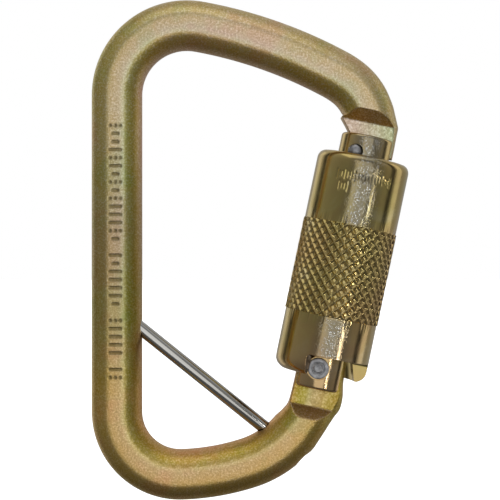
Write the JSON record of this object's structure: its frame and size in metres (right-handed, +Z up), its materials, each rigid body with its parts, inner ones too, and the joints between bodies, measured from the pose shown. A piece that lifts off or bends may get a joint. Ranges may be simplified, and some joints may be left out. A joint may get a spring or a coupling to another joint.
{
  "type": "locking carabiner",
  "caption": "Steel offset-D connector with a spring-closed gate, a knurled twist-lock sleeve and a captive eye bar across its narrow end.",
  "frame": {"origin": "inside of the top bow, where an anchor bar or rope seats", "axes": "+Z up along the straight spine, +X from the spine to the gate, +Y through the eye away from the marked front face"},
  "size_m": [0.0753, 0.0226, 0.1188],
  "materials": {
    "yellow_zinc_body": "satin, yellow zinc plated over a blasted surface",
    "yellow_zinc_polished": "glossy, yellow zinc plated over a turned surface",
    "bright_steel": "bright drawn",
    "grey_steel": "dull, peened",
    "spring_steel": "drawn wire"
  },
  "bodies": {
    "body": {"body_frame": "yellow_zinc_body", "captive_bar": "bright_steel"},
    "gate": {"gate": "yellow_zinc_polished", "hinge_rivet": "grey_steel", "nose_latch_pin": "bright_steel", "sleeve_guide_pin": "bright_steel", "sleeve_retaining_ring": "spring_steel", "gate_return_spring": "spring_steel", "sleeve_torsion_spring": "spring_steel"},
    "plunger": {"gate_plunger": "grey_steel"},
    "sleeve": {"lock_sleeve": "yellow_zinc_polished", "sleeve_top_bush": "yellow_zinc_polished"}
  },
  "joints": [
    {"name": "gate_hinge", "type": "hinge", "parent": "body", "child": "gate", "pos_m": [0.03106, 0, -0.07517], "axis": [0, -1, 0], "range_deg": [0, 34], "stiffness_Nm_per_rad": 0.25, "springref_deg": -57.3},
    {"name": "plunger_slide", "type": "slide", "parent": "gate", "child": "plunger", "axis": [0.2053, 0, 0.9787], "range_m": [0, 0.00131], "deforming": ["gate_return_spring"]},
    {"name": "sleeve_twist", "type": "hinge", "parent": "gate", "child": "sleeve", "pos_m": [0.03184, 0, -0.07533], "axis": [-0.2053, 0, -0.9787], "range_deg": [0, 90], "stiffness_Nm_per_rad": 0.02, "springref_deg": -85.94, "deforming": ["sleeve_torsion_spring"]}
  ],
  "couplings": [
    {"joint": "plunger_slide", "follows": "gate_hinge", "m_per_rad": 0.0022}
  ]
}
